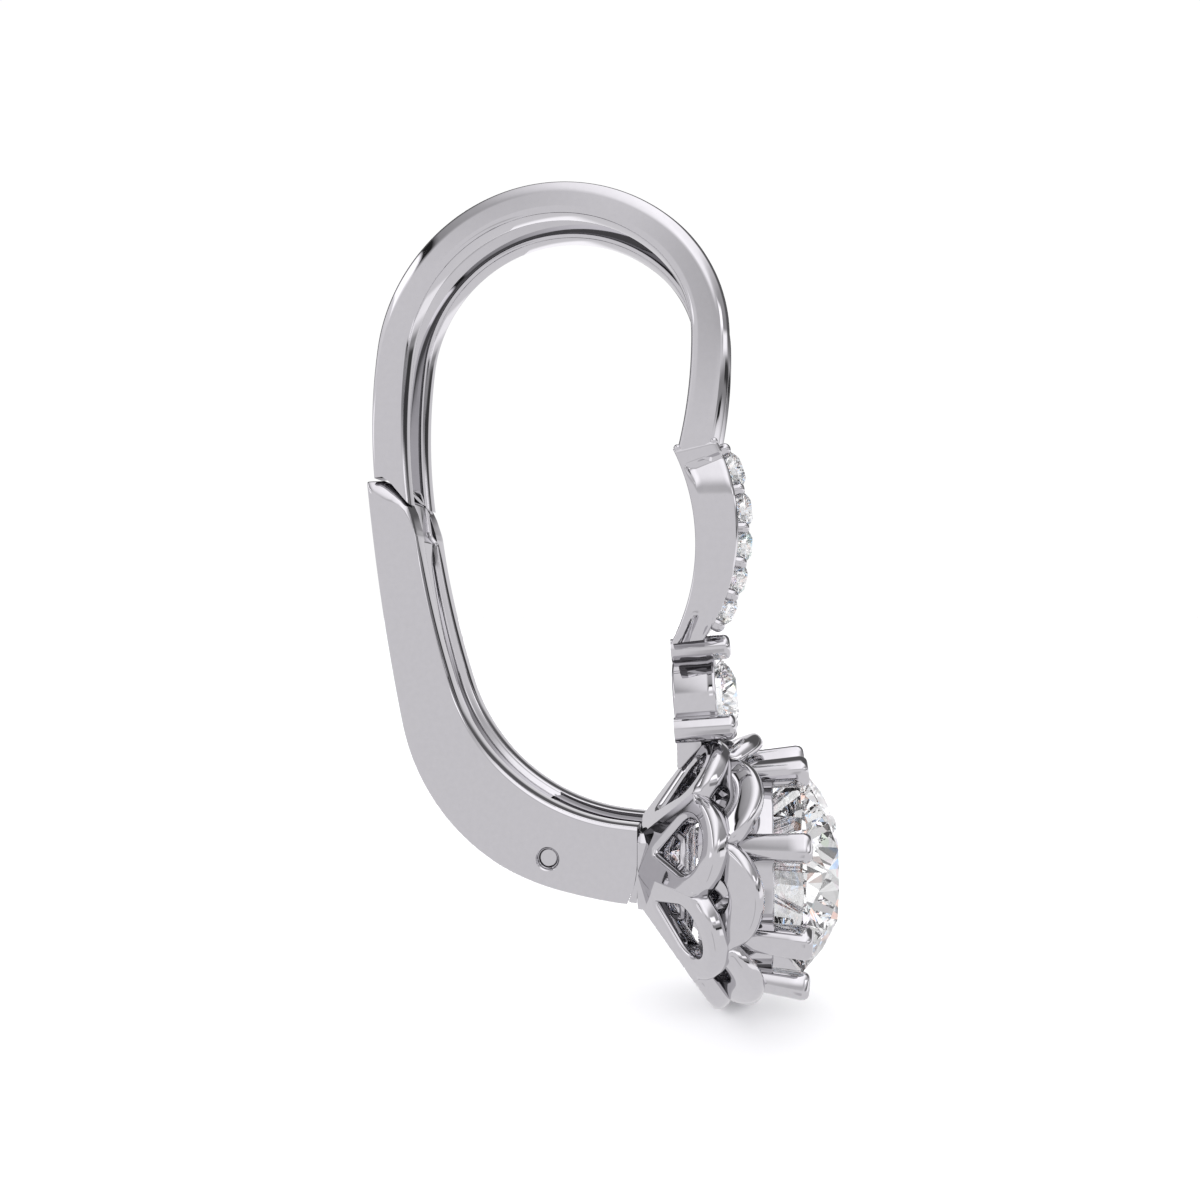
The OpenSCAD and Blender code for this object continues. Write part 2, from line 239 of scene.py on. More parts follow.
# The lamps that the diamonds show: how many to a unit of direction, their least and greatest
# light, the share of them up to which they are white and from which tinged, and the two hues
LAMP_COUNT = 3.2
LAMP_LIGHT = (0.3, 1.6)
LAMP_TINGE = (0.8, 0.85)
LAMP_HUES = (0.04, 0.6)


def linear(hex_colour):
    """An sRGB hex colour as linear red, green, blue and alpha."""
    parts = [int(hex_colour[i:i + 2], 16) / 255 for i in (1, 3, 5)]
    return (*(c / 12.92 if c <= 0.04045 else ((c + 0.055) / 1.055) ** 2.4 for c in parts), 1.0)


def size_setting(name, default, low, high, description):
    """A length that a user would change, with its default and limits in mm."""
    return bpy.props.FloatProperty(name=name, description=description, default=default * MM,
                                   min=low * MM, max=high * MM, unit="LENGTH")


def colour_setting(name, default, description):
    """A colour that a user would change."""
    return bpy.props.FloatVectorProperty(name=name, description=description, subtype="COLOR",
                                         size=4, min=0, max=1, default=linear(default))


class EarringSizes(bpy.types.PropertyGroup):
    """Sizes of the finish that a user would change."""
    rail_round: size_setting("Rail rounding", 0.32, 0.05, 0.4,
                             "Radius of the ear wire's outer edges at its crown")
    lever_round: size_setting("Lever rounding", 0.13, 0.04, 0.2,
                              "Radius of the lever's inner edges")
    lever_back_round: size_setting("Lever back rounding", 0.3, 0.1, 0.4,
                                   "Radius of the lever's outer edges")
    petal_round: size_setting("Petal rounding", 0.2, 0.03, 0.22,
                              "Radius of the back petals' edges")
    stone_lift: size_setting("Pave lift", 0.18, 0.0, 0.3,
                             "Height of the bar stones' girdles over the bar's face")
    bead_radius: size_setting("Bead radius", 0.17, 0.08, 0.2,
                              "Radius of the grains that hold the bar's stones")


class EarringColours(bpy.types.PropertyGroup):
    """Colours that a user would change."""
    gold: colour_setting("White gold", "#DDDCDF", "Colour of the rhodium plated white gold")
    diamond: colour_setting("Diamond", "#FDFDFE", "Tint of the diamonds")
    floor: colour_setting("Floor", "#F4F4F6", "Colour of the studio floor")


def toward(angle):
    """The direction at an angle in radians."""
    return np.array((math.cos(angle), math.sin(angle)))


def quarter(steps):
    """The sine and cosine at even steps of a quarter turn, both its ends included."""
    angles = np.linspace(0, math.pi / 2, steps + 1)
    return list(zip(np.sin(angles), np.cos(angles)))


def smooth(value, low=0.0, high=1.0):
    """Rises from 0 at low to 1 at high with level ends."""
    t = min(max((value - low) / (high - low), 0.0), 1.0)
    return t * t * (3 - 2 * t)


class Route:
    """Tangent arcs in the side view, with a straight run on past each end."""

    def __init__(self, start, heading, rows):
        self.arcs, place, angle, along = [], np.array(start, float), math.radians(heading), 0.0
        for radius, sweep in rows:
            centre = place + radius * toward(angle + math.pi / 2)
            self.arcs.append((along, centre, angle, radius))
            angle += math.copysign(math.radians(sweep), radius)
            place = centre - radius * toward(angle + math.pi / 2)
            along += abs(radius) * math.radians(sweep)
        self.length = along

    def at(self, along, side=0.0):
        """The point at a distance along the route, moved to its left by side."""
        on_arc = min(max(along, 0), self.length)
        begin, centre, angle, radius = [arc for arc in self.arcs if arc[0] <= on_arc][-1]
        angle += (on_arc - begin) / radius
        return (centre + (side - radius) * toward(angle + math.pi / 2)
                + (along - on_arc) * toward(angle))


def crossing(low, high, test):
    """Where a test turns true between low, where it fails, and high, where it holds."""
    for _ in range(40):
        middle = (low + high) / 2
        low, high = (low, middle) if test(middle) else (middle, high)
    return high


def reached(route, test):
    """The first distance along a route at which a test of the place holds."""
    stops = np.linspace(0, route.length, 400)
    first = next(i for i, along in enumerate(stops) if test(route.at(along)))
    return crossing(stops[first - 1], stops[first], lambda along: test(route.at(along)))


def along_line(points, share):
    """The point at a share of a polyline's length."""
    points = np.array(points, float)
    steps = np.r_[0, np.cumsum(np.hypot(*np.diff(points, axis=0).T))]
    return np.array([np.interp(share * steps[-1], steps, points[:, i]) for i in (0, 1)])


def circle_at(circle, degrees):
    """The point of a circle, given as centre and radius, at an angle."""
    centre, radius = circle
    return np.array(centre) + radius * toward(math.radians(degrees))


def arc_of(circle, start, stop, count):
    """Evenly spaced points of a circle from one angle to another."""
    return [circle_at(circle, degrees) for degrees in np.linspace(start, stop, count)]


def round_outline(radius, count=48, centre=(0, 0)):
    """A circle as an outline."""
    return arc_of((centre, radius), 0, 360, count + 1)[:-1]


def rounded(rows, steps=6):
    """A closed outline with arcs for its corners, from rows of [corner, its arc's radius]."""
    corners, out = np.array(rows, float)[:, :2], []
    for i, (corner, (*_, radius)) in enumerate(zip(corners, rows)):
        before, after = corners[i - 1] - corner, corners[(i + 1) % len(corners)] - corner
        before, after = before / np.hypot(*before), after / np.hypot(*after)
        half = math.acos(np.clip(before @ after, -1, 1)) / 2
        middle = (before + after) / np.hypot(*(before + after))
        centre = corner + middle * radius / math.sin(half)
        first, last = (corner + way * radius / math.tan(half) - centre
                       for way in (before, after))
        begin, stop = math.atan2(first[1], first[0]), math.atan2(last[1], last[0])
        sweep = (stop - begin + math.pi) % (2 * math.pi) - math.pi
        out += [centre + radius * toward(begin + sweep * k / steps) for k in range(steps + 1)]
    return out


def box_section(width, height, radii, steps=6, extra=0):
    """A rounded rectangle about the origin, from its low left corner anticlockwise, with extra
    points on its low and high sides."""
    w, h = width / 2, height / 2
    corners = ((-w, -h), (w, -h), (w, h), (-w, h))
    plain = rounded([(*corner, radius) for corner, radius in zip(corners, radii)], steps)
    low, high = ([plain[i] + (plain[i + 1] - plain[i]) * k / (extra + 1)
                  for k in range(1, extra + 1)] for i in (steps, 3 * steps + 2))
    return [*plain[:steps + 1], *low, *plain[steps + 1:3 * steps + 3], *high,
            *plain[3 * steps + 3:]]


def eight_sided(half, high, corner):
    """A rectangle's outline with its corners cut off, anticlockwise."""
    near, level = half - corner, high - corner
    return [(half, -level), (half, level), (near, high), (-near, high), (-half, level),
            (-half, -level), (-near, -high), (near, -high)]


def inset(outline, distance):
    """A closed anticlockwise outline moved into itself along its own normals."""
    points = np.array(outline, float)
    edge = np.roll(points, -1, 0) - np.roll(points, 1, 0)
    edge /= np.maximum(np.hypot(*edge.T), 1e-9)[:, None]
    return points + distance * np.c_[-edge[:, 1], edge[:, 0]]


def skin(rings, ladder_from=None, ring_of_rings=False):
    """A closed skin through rings of equally many points, as corners and faces.

    Where ladder_from is a count, the first ring mirrors itself about its first point, and from
    that count on its cap is made of rungs between its two halves, which suits a bent end."""
    rings = np.array(rings, float)
    count, size = rings.shape[:2]
    faces = []
    for i in range(count if ring_of_rings else count - 1):
        here, there = i * size, (i + 1) % count * size
        for j in range(size):
            k = (j + 1) % size
            faces.append((here + j, here + k, there + k, there + j))
    if not ring_of_rings:
        if ladder_from is None:
            faces.append(tuple(range(size))[::-1])
        else:
            faces.append((*range(ladder_from, -1, -1),
                          *range(size - 1, size - ladder_from - 1, -1)))
            faces += [(size - j, size - j - 1, j + 1, j)
                      for j in range(ladder_from, (size - 1) // 2)]
        faces.append(tuple((count - 1) * size + j for j in range(size)))
    return rings.reshape(-1, 3), faces


def slab(outline, low, high, edge):
    """Side view outline as a plate from Y low to Y high with rounded edges."""
    rings = [(low + edge * (1 - s), edge * (1 - c)) for s, c in quarter(4)][::-1]
    rings += [(low + high - y, distance) for y, distance in rings[::-1]]
    return skin([np.insert(inset(outline, distance), 1, y, axis=1) for y, distance in rings])


def turned(profile, segments=96):
    """A closed outline of [distance along X, radius] turned about the X axis."""
    profile = np.array(profile, float)
    return skin([np.c_[profile[:, 0], profile[:, 1:] * toward(2 * math.pi * k / segments)]
                 for k in range(segments)], ring_of_rings=True)


def bar_x(sections):
    """A bar along X through sections, each a distance and an outline of [y, z]."""
    return skin([np.insert(np.array(outline, float), 0, x, axis=1) for x, outline in sections])


def ball(radius):
    """A ball as a bar along X."""
    return bar_x([(x, round_outline(max(r, 1e-4), 24))
                  for r, x in arc_of(((0, 0), radius), -90, 90, 12)])


def blunt_rod(start, stop, radius, edge, sides):
    """A rod along X whose front end is blunt with a rounded rim, or a dome."""
    rim = [(stop - edge * (1 - s), max(radius - edge * (1 - c), 0.004)) for s, c in quarter(6)]
    return bar_x([(x, round_outline(r, sides)) for x, r in [(start, radius), *rim]])


def placed(part, turn_y=0.0, turn_x=0.0, move=(0, 0, 0)):
    """A part turned about X, then about Y, then moved. Angles are in degrees."""
    corners, faces = part
    a, b = math.radians(turn_x), math.radians(turn_y)
    about_x = np.array(((1, 0, 0), (0, math.cos(a), -math.sin(a)),
                        (0, math.sin(a), math.cos(a))))
    about_y = np.array(((math.cos(b), 0, math.sin(b)), (0, 1, 0),
                        (-math.sin(b), 0, math.cos(b))))
    return corners @ (about_y @ about_x).T + np.array(move), faces


def along_y(part, x, z):
    """Turns a part drawn about X to lie along Y, at a place in the side view."""
    corners, faces = part
    return np.c_[-corners[:, 1], corners[:, 0], corners[:, 2]] + np.array((x, 0, z)), faces


def in_accent(part):
    """A part drawn along the small setting's axis, put in its place."""
    return placed(part, turn_y=-ACCENT_TILT, move=(ACCENT_AT[0], 0, ACCENT_AT[1]))


def round_flower(part, first=0.0):
    """A part drawn for the flower's top, at each of the petal places from the first on."""
    return [placed(part, turn_x=(first + k) * 360 / PETALS, move=(0, 0, FLOWER_Z))
            for k in range(PETALS)]


def on_bar(part, slope, lift=0.0):
    """A part drawn along X from the bar's front face, put where that face has this slope."""
    centre, radius = BAR_FRONT
    x, z = circle_at((centre, radius + lift), slope)
    return placed(part, turn_y=-slope, move=(x, 0, z))


def add_node(tree, kind, links=(), **settings):
    """Adds a node. Settings name its inputs or its own fields. A link is an input with the
    output that feeds it, the node whose first output does, or a plain value."""
    node = tree.nodes.new(kind)
    sockets = {socket.name.lower(): socket for socket in reversed(node.inputs)}
    for name, value in settings.items():
        field = name.replace("_", " ").lower()
        if field in sockets:
            sockets[field].default_value = value
        else:
            setattr(node, name, value)
    for target, source in links:
        if isinstance(source, bpy.types.Node):
            source = source.outputs[0]
        if isinstance(source, bpy.types.NodeSocket):
            tree.links.new(node.inputs[target], source)
        else:
            node.inputs[target].default_value = source
    return node


def rhodium_plated_white_gold(tree, place, colours):
    """Cast 14 carat white gold, lapped and mopped to a mirror, then flash plated in rhodium."""
    # To the eye it is a cool, bright mirror. The mop leaves waves about 0.8 mm apart that bend
    # reflections a hair, and rouge haze about 0.15 mm across that changes their sharpness.
    waves = add_node(tree, "ShaderNodeTexNoise", [place], Scale=1 / (0.8 * MM), Detail=1.0)
    haze = add_node(tree, "ShaderNodeTexNoise", [place], Scale=1 / (0.15 * MM), Detail=3.0)
    sharpness = add_node(tree, "ShaderNodeMapRange", [("Value", haze)], From_Min=0.3,
                         From_Max=0.7, To_Min=0.012, To_Max=0.045)
    tone = add_node(tree, "ShaderNodeMapRange", [("Value", haze)], From_Min=0.3, From_Max=0.7,
                    To_Min=0.97, To_Max=1.0)
    shade = add_node(tree, "ShaderNodeMix", [("Factor", tone), (6, (0, 0, 0, 1)),
                                             (7, colours.gold)], data_type="RGBA")
    bump = add_node(tree, "ShaderNodeBump", [("Height", waves)], Strength=0.04,
                    Distance=0.02 * MM)
    return add_node(tree, "ShaderNodeBsdfPrincipled", [
        ("Base Color", shade.outputs[2]), ("Roughness", sharpness), ("Normal", bump)],
        Metallic=1.0)


def cut_diamond(tree, place, colours):
    """Round brilliant diamond, cut on a scaife and cleaned."""
    # To the eye it is clear, with hard bright and dark facets. Its colour carries painted fire:
    # faint red, green and blue sparks about 0.3 mm across, painted in where the stone would part
    # the light.
    cells = add_node(tree, "ShaderNodeTexVoronoi", [place], Scale=1 / (0.3 * MM))
    split = add_node(tree, "ShaderNodeSeparateColor", [("Color", cells.outputs["Color"])])
    hue = add_node(tree, "ShaderNodeCombineColor", [("Red", split)], mode="HSV", Green=0.6,
                   Blue=1.0)
    # Only a few cells take the painted fire colour; the rest keep the diamond's own tint
    painted_fire_share = add_node(tree, "ShaderNodeMapRange", [("Value", split.outputs["Green"])],
                   From_Min=0.85, From_Max=1.0, To_Min=0.0, To_Max=0.4)
    painted_fire_colour = add_node(tree, "ShaderNodeMix", [("Factor", painted_fire_share), (6, colours.diamond), (7, hue)],
                    data_type="RGBA")
    return add_node(tree, "ShaderNodeBsdfPrincipled", [("Base Color", painted_fire_colour.outputs[2])],
                    Roughness=0.0, IOR=2.417, Transmission_Weight=1.0)


def coated_card(tree, place, colours):
    """White coated card that the earring stands on."""
    # To the eye it is an even, clean white with the faintest tooth, about 0.4 mm across.
    tooth = add_node(tree, "ShaderNodeTexNoise", [place], Scale=1 / (0.4 * MM), Detail=2.0)
    bump = add_node(tree, "ShaderNodeBump", [("Height", tooth)], Strength=0.05,
                    Distance=0.01 * MM)
    return add_node(tree, "ShaderNodeBsdfPrincipled", [("Normal", bump)],
                    Base_Color=colours.floor, Roughness=0.6)


def empty_tree(owner):
    """The emptied node tree of a material or a world."""
    owner.use_nodes = True
    owner.node_tree.nodes.clear()
    return owner.node_tree


def material(name, surface):
    """The material of this name. Its surface is built the first time it is asked for."""
    made = bpy.data.materials.get(name)
    if made is None:
        made = bpy.data.materials.new(name)
        tree = empty_tree(made)
        place = ("Vector", add_node(tree, "ShaderNodeTexCoord").outputs["Object"])
        shader = surface(tree, place, bpy.context.scene.earring_colours)
        add_node(tree, "ShaderNodeOutputMaterial", [("Surface", shader)])
    return made


def put_in_scene(name, data):
    """A new object of a mesh or a camera, in the scene."""
    made = bpy.data.objects.new(name, data)
    bpy.context.scene.collection.objects.link(made)
    return made


def closed_object(name, parts, split=True):
    """One object, in metres, made of closed parts with their faces turned outwards."""
    shape = bmesh.new()
    for corners, faces in parts:
        made = [shape.verts.new(np.array(corner) * MM) for corner in corners]
        for face in faces:
            shape.faces.new([made[i] for i in face])
    bmesh.ops.recalc_face_normals(shape, faces=shape.faces)
    if split:
        bmesh.ops.triangulate(shape, faces=[face for face in shape.faces
                                            if len(face.verts) > 4])
    mesh = bpy.data.meshes.new(name)
    shape.to_mesh(mesh)
    shape.free()
    return put_in_scene(name, mesh)


def cut(piece, cutters):
    """Takes closed parts out of a piece."""
    tools = [closed_object(f"cutter {number}", [part], split=False)
             for number, part in enumerate(cutters)]
    for tool in tools:
        step = piece.modifiers.new("Cut", "BOOLEAN")
        step.operation, step.solver, step.object = "DIFFERENCE", "EXACT", tool
    bpy.context.view_layer.update()
    seen = piece.evaluated_get(bpy.context.evaluated_depsgraph_get())
    result = bpy.data.meshes.new_from_object(seen)
    piece.modifiers.clear()
    piece.data = result
    for tool in tools:
        bpy.data.objects.remove(tool)


def make_piece(name, parts, node="front_frame", body="front", stone=False, cutters=()):
    """Makes a piece of white gold, or a faceted one of diamond, puts it on the empty of the body
    it rides on and hides the CAD node that it stands for."""
    piece = closed_object(name, parts)
    if cutters:
        cut(piece, cutters)
    mesh = piece.data
    mesh.materials.clear()
    mesh.polygons.foreach_set("use_smooth", [not stone] * len(mesh.polygons))
    if stone:
        mesh.materials.append(material("Cut diamond", cut_diamond))
    else:
        mesh.materials.append(material("Rhodium plated white gold", rhodium_plated_white_gold))
        mesh.set_sharp_from_angle(angle=math.radians(40))
        weighted = piece.modifiers.new("Even shading", "WEIGHTED_NORMAL")
        weighted.keep_sharp = True
    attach(piece, body)
    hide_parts(node)


def brilliant(radius, girdle_height):
    """A round brilliant of 57 facets along X, with the low edge of its girdle at X 0."""
    corners = []

    def add(x, reach, degrees):
        corners.append((x, *(reach * toward(math.radians(degrees)))))
        return len(corners) - 1

    def fall(angle, reach, off):
        """How far a facet at this angle is from the girdle's plane at a corner."""
        return (radius - reach * math.cos(math.radians(off))) * math.tan(math.radians(angle))

    def dip(joint_x, joint_r):
        """How much farther a facet by the girdle falls, half way along it, to the round."""
        chord = radius * math.cos(math.radians(11.25))
        slope = joint_x / (chord - joint_r * math.cos(math.radians(11.25)))
        return slope * (radius - chord)

    table_r, star_r, low_r = (radius * share for share in (TABLE_SHARE, STAR_SHARE, LOWER_SHARE))
    star_rise, low_fall = fall(CROWN_ANGLE, star_r, 22.5), fall(PAVILION_ANGLE, low_r, 22.5)
    table, star, low = ([add(x, reach, 45 * k + off) for k in range(8)] for x, reach, off in (
        (girdle_height + fall(CROWN_ANGLE, table_r, 0), table_r, 0),
        (girdle_height + star_rise, star_r, 22.5), (-low_fall, low_r, 22.5)))
    culet = add(-fall(PAVILION_ANGLE, CULET_SHARE * radius, 0), 0, 0)
    upper_dip, lower_dip = dip(star_rise, star_r), dip(low_fall, low_r)
    top, foot = [], []
    for k in range(32):
        top.append(add(girdle_height - upper_dip * (k % 2), radius, 11.25 * k))
        foot.append(add(lower_dip * (k % 2), radius, 11.25 * k))
    faces = [tuple(table)]
    for k in range(8):
        runs = [[(4 * k + i) % 32 for i in run] for run in ((0, 1, 2), (2, 3, 4))]
        faces += [(table[k], star[k], table[(k + 1) % 8]),
                  (table[k], star[k - 1], top[4 * k], star[k])]
        faces += [(star[k], *[top[i] for i in run]) for run in runs]
        faces.append((culet, low[k - 1], foot[4 * k], low[k]))
        faces += [(low[k], *[foot[i] for i in run]) for run in runs]
    faces += [(top[k], foot[k], foot[(k + 1) % 32], top[(k + 1) % 32]) for k in range(32)]
    return np.array(corners), faces


def off_seat(place):
    """Whether a place in the side view is above the lever's seat by its gap or more."""
    return place[1] >= np.interp(place[0], *np.array(SEAT[::-1]).T) + SEAT_GAP


def rail_section(thick, outer_edge):
    """A rail's outline, with more points on its two flanks so that its foot can bend."""
    return box_section(thick, RAIL_WIDTH, (RAIL_INNER_EDGE, outer_edge, outer_edge,
                                           RAIL_INNER_EDGE), extra=7)


def rail(crown_edge):
    """One rail of the ear wire, about Y 0, from its foot on the lever's seat to the bar."""
    wire = Route(*WIRE)
    feet = [crossing(-1.5, 2.5, lambda along: off_seat(wire.at(along, side)))
            for side, _ in rail_section(RAIL_FOOT_THICK, RAIL_FOOT_EDGE)]
    rings = []
    for share in np.linspace(0, 1, RAIL_RINGS):
        thick = (RAIL_FOOT_THICK + RAIL_CROWN_GAIN * smooth(share, 0.0, 0.35)
                 + RAIL_BAR_GAIN * smooth(share, 0.55, 1.0))
        outer = RAIL_FOOT_EDGE + (crown_edge - RAIL_FOOT_EDGE) * smooth(share, 0.04, 0.34)
        # The end inside the bar is a little narrower than the bar
        tuck = 1 - 0.02 * smooth(share, 0.97, 0.99)
        ring = []
        for (side, y), begin in zip(rail_section(thick, outer), feet):
            x, z = wire.at(begin + (wire.length + RAIL_INTO_BAR - begin) * share, side)
            ring.append((x, y * tuck, z))
        rings.append(ring)
    return skin(rings)


class EARRING_OT_ear_wire(bpy.types.Operator):
    """The ear wire's two parallel rails and the solder beads where they meet the bar"""
    bl_idname = "earring.ear_wire"
    bl_label = "Ear wire"

    def execute(self, context):
        one = rail(context.scene.earring_sizes.rail_round / MM)
        make_piece("ear_wire_rails", [placed(one, move=(0, side * RAIL_MIDDLE, 0))
                                      for side in (-1, 1)])
        make_piece("wire_joints", [placed(ball(WIRE_JOINT_RADIUS), move=(x, side * y, z))
                                   for side in (-1, 1) for x, y, z in WIRE_JOINTS])
        return {"FINISHED"}


def bar_back_angle(slope):
    """Where the line through the front face's centre at this slope meets the back circle."""
    ray = toward(math.radians(slope))
    start = np.array(BAR_FRONT[0]) - np.array(BAR_BACK[0])
    along = start @ ray
    x, z = start + ray * (math.sqrt(along ** 2 - start @ start + BAR_BACK[1] ** 2) - along)
    return math.degrees(math.atan2(z, x))


def leaf_half(slope, z, waist_drop):
    """Half width of the bar's leaf at a height, flared under the cap and drawn in at its foot."""
    if z > LEAF_SHOULDER_Z:
        up = z - LEAF_SHOULDER_Z
        half = BODY_HALF - LEAF_LEAN[0] * up - LEAF_LEAN[1] * up ** 2
        flare = min(max((slope - BAR_FLARE[0]) / (BAR_FLARE[1] - BAR_FLARE[0]), 0), 1)
        return half + (BODY_HALF - half) * (1 - math.sqrt(1 - flare ** 2))
    below = max(LEAF_WAIST_Z - waist_drop - z, 0)
    return BODY_HALF + (LEAF_FOOT[0] - BODY_HALF) * below / (LEAF_WAIST_Z - LEAF_FOOT[1])


def stone_bar():
    """The bar: a full width back strip with a leaf shaped front, as rings down its arc."""
    (top, back_top), (low, back_low) = BAR_ENDS
    blend = [low, -28.0, *range(-20, 21, 10), 22.0, top]
    backs = [back_low, *[bar_back_angle(slope) for slope in blend[1:-1]], back_top]
    rings = []
    for slope in np.r_[top, top - 0.15, top - 0.5, top - 1.0, np.linspace(top - 1.4, 20.5, 22),
                       np.linspace(20, low, 90)]:
        front = circle_at(BAR_FRONT, slope)
        back = circle_at(BAR_BACK, np.interp(slope, blend, backs))
        thick = math.dist(front, back)
        # The cap's edge is rounded over the first degree of the arc
        ease = BAR_CAP_EASE * (1 - math.sqrt(1 - max(1 - (top - slope), 0) ** 2))

        def at(depth, y):
            x, z = front + (back - front) * depth / thick
            return np.array((x, y, z))

        def leaf_at(depth):
            drop = LEAF_WAIST_DROP * (2 * depth / thick - 1) ** 2
            return min(leaf_half(slope, at(depth, 0)[2], drop), BODY_HALF)

        step = thick - BAR_STRIP[0] - (BAR_STRIP[1] - BAR_STRIP[0]) * smooth(
            -at(thick, 0)[2], 6.3, 7.0)
        half = [(BAR_FRONT_EDGE * (1 - s),
                 leaf_at(BAR_FRONT_EDGE * (1 - s)) - BAR_FRONT_EDGE * (1 - c))
                for s, c in quarter(4)][::-1]
        half = [(0.0, half[0][1] * share) for share in (0.35, 0.7)] + half
        half += [(depth, leaf_at(depth))
                 for depth in (*(step * np.linspace(0.2, 0.8, 5)), step - 0.05)]
        ledge = LEAF_LEDGE * min(1, (BODY_HALF - leaf_at(step)) / 0.1)
        half += [(step - 0.01, leaf_at(step) + ledge), (step, BODY_HALF - ledge),
                 (step + LEAF_LEDGE, BODY_HALF)]
        half += [(thick - BAR_BACK_EDGE * (1 - s), BODY_HALF - BAR_BACK_EDGE * (1 - c))
                 for s, c in quarter(4)]
        half.append((thick, 0.5))
        ring = [at(depth, -y + ease * (y > 0.6)) for depth, y in half] + [at(thick, 0)]
        ring += [at(depth, y - ease * (y > 0.6)) for depth, y in half[::-1]] + [at(0, 0)]
        rings.append(ring)
    return skin(rings)


class EARRING_OT_stone_bar(bpy.types.Operator):
    """The leaf shaped bar with its five pave stones and the grains that hold them"""
    bl_idname = "earring.stone_bar"
    bl_label = "Stone bar"

    def execute(self, context):
        sizes = context.scene.earring_sizes
        lift, bead = sizes.stone_lift / MM, sizes.bead_radius / MM
        make_piece("stone_bar", [stone_bar()], cutters=[
            on_bar(bar_x([(x, round_outline(d * share)) for x, share in STONE_SEAT]), slope)
            for slope, d in BAR_STONES])
        make_piece("bar_stones", [on_bar(brilliant(d / 2, BAR_GIRDLE_HEIGHT), slope, lift)
                                  for slope, d in BAR_STONES], stone=True)
        grain = blunt_rod(BEAD_ROOT, lift - BEAD_SINK + bead, bead, bead, 20)
        make_piece("bar_grains", [on_bar(placed(grain, move=(0, side * BEAD_OFF_MIDDLE, 0)),
                                         slope) for slope in BEAD_SLOPES for side in (-1, 1)])
        return {"FINISHED"}


class EARRING_OT_small_setting(bpy.types.Operator):
    """The small three prong setting with its stone, and the neck below it"""
    bl_idname = "earring.small_setting"
    bl_label = "Small setting"

    def execute(self, context):
        rod = placed(blunt_rod(*ACCENT_PRONG_SPAN, ACCENT_PRONG_RADIUS, ACCENT_PRONG_EDGE, 32),
                     move=(0, 0, ACCENT_PRONG_RING))
        make_piece("small_setting", [in_accent(turned(rounded(COLLET, 4)))] + [
            in_accent(placed(rod, turn_x=90 - angle)) for angle in ACCENT_PRONGS])
        make_piece("small_stone", [in_accent(placed(
            brilliant(ACCENT_RADIUS, ACCENT_GIRDLE_HEIGHT), turn_x=22.5))], "accent_stone",
            stone=True)
        make_piece("neck", [slab(rounded(NECK), -NECK_HALF, NECK_HALF, 0.02)])
        return {"FINISHED"}


class PetalPath:
    """A petal's middle line in the side view, from its root to its tip."""

    def __init__(self, root, slopes, length):
        self.steps = np.linspace(0, length * 1.1, 60)
        self.slopes = np.radians([
            slopes[0] + (slopes[1] - slopes[0]) * smooth(step / length, PETAL_BEND_FROM)
            for step in self.steps])
        gaps = np.diff(self.steps, prepend=0)
        self.run = root[0] + np.cumsum(gaps * np.cos(self.slopes))
        self.reach = root[1] + np.cumsum(gaps * np.sin(self.slopes))
        self.length = length

    def ridge(self, along):
        """Half width at which a petal meets its neighbour."""
        return math.tan(math.pi / PETALS) * float(np.interp(along, self.steps, self.reach))

    def rim(self, lobe):
        """The petal's outline as [along, across], anticlockwise from the hub's near corner."""
        middle = self.length - lobe
        arc = [(x, y) for x, y in arc_of(((middle, 0), lobe), -108, 108, 120)
               if abs(y) < self.ridge(x)]
        side = [(x, self.ridge(x)) for x in np.linspace(0, arc[0][0], 24)[:-1]]
        return [(x, -y) for x, y in side] + arc + side[::-1]

    def lift(self, rings):
        """Bends flat rings of [along, across, height] to the path."""
        out = []
        for along, across, height in np.array(rings).reshape(-1, 3):
            x, reach, slope = (np.interp(along, self.steps, line)
                               for line in (self.run, self.reach, self.slopes))
            out.append((x - height * math.sin(slope), across, reach + height * math.cos(slope)))
        return skin(np.reshape(out, np.shape(rings)), ring_of_rings=True)


def tear_drop(point, centre, radius):
    """A teardrop outline with its point at one place and its round end about another."""
    lean = 90 + math.degrees(math.asin(radius / (centre - point)))
    return [(point, 0), *arc_of(((centre, 0), radius), -lean, lean, 40)]


def around(outline, centre):
    """Where rays from a centre meet an outline, and the outline's direction inwards there."""
    starts = np.array(outline, float) - np.array(centre)
    edges = np.roll(starts, -1, 0) - starts
    hits, normals = [], []
    for k in range(PETAL_RAYS):
        ray = toward(2 * math.pi * (k + 0.5) / PETAL_RAYS - math.pi)
        slant = edges @ (-ray[1], ray[0])
        slant[abs(slant) < 1e-12] = math.inf
        reach = (starts[:, 0] * edges[:, 1] - starts[:, 1] * edges[:, 0]) / slant
        share = starts @ (ray[1], -ray[0]) / slant
        meets = (share >= -1e-9) & (share <= 1 + 1e-9)
        best = np.argmax(np.where(meets, reach, 0))
        x, y = edges[best] / np.hypot(*edges[best])
        hits.append(reach[best] * ray)
        normals.append((-y, x) if x * ray[1] < y * ray[0] else (y, -x))
    normals = np.array(normals)
    for _ in range(2):
        normals = (np.roll(normals, 1, 0) + 2 * normals + np.roll(normals, -1, 0)) / 4
        normals /= np.hypot(*normals.T)[:, None]
    return np.array(hits) + np.array(centre), normals


